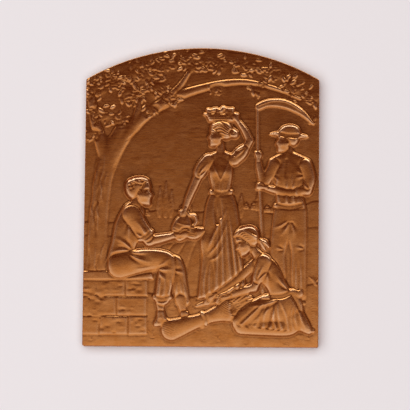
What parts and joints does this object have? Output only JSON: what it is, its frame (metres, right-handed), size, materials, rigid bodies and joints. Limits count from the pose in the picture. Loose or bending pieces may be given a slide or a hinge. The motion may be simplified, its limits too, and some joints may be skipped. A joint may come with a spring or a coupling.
{
  "type": "relief plaque",
  "caption": "Small struck bronze relief plaque with an arched top, showing a harvest scene of resting figures under a bough.",
  "frame": {"origin": "on the back plane, below the middle of the plaque's outline", "axes": "+Y to the arched top of the picture, +Z out of the carved face, +X to the picture's right"},
  "size_m": [0.055, 0.0705, 0.0036],
  "materials": {
    "bronze": "satin brown bronze, darker in the grooves and lighter on the worn crests"
  },
  "bodies": {
    "root": {"plaque": "bronze"}
  },
  "joints": []
}
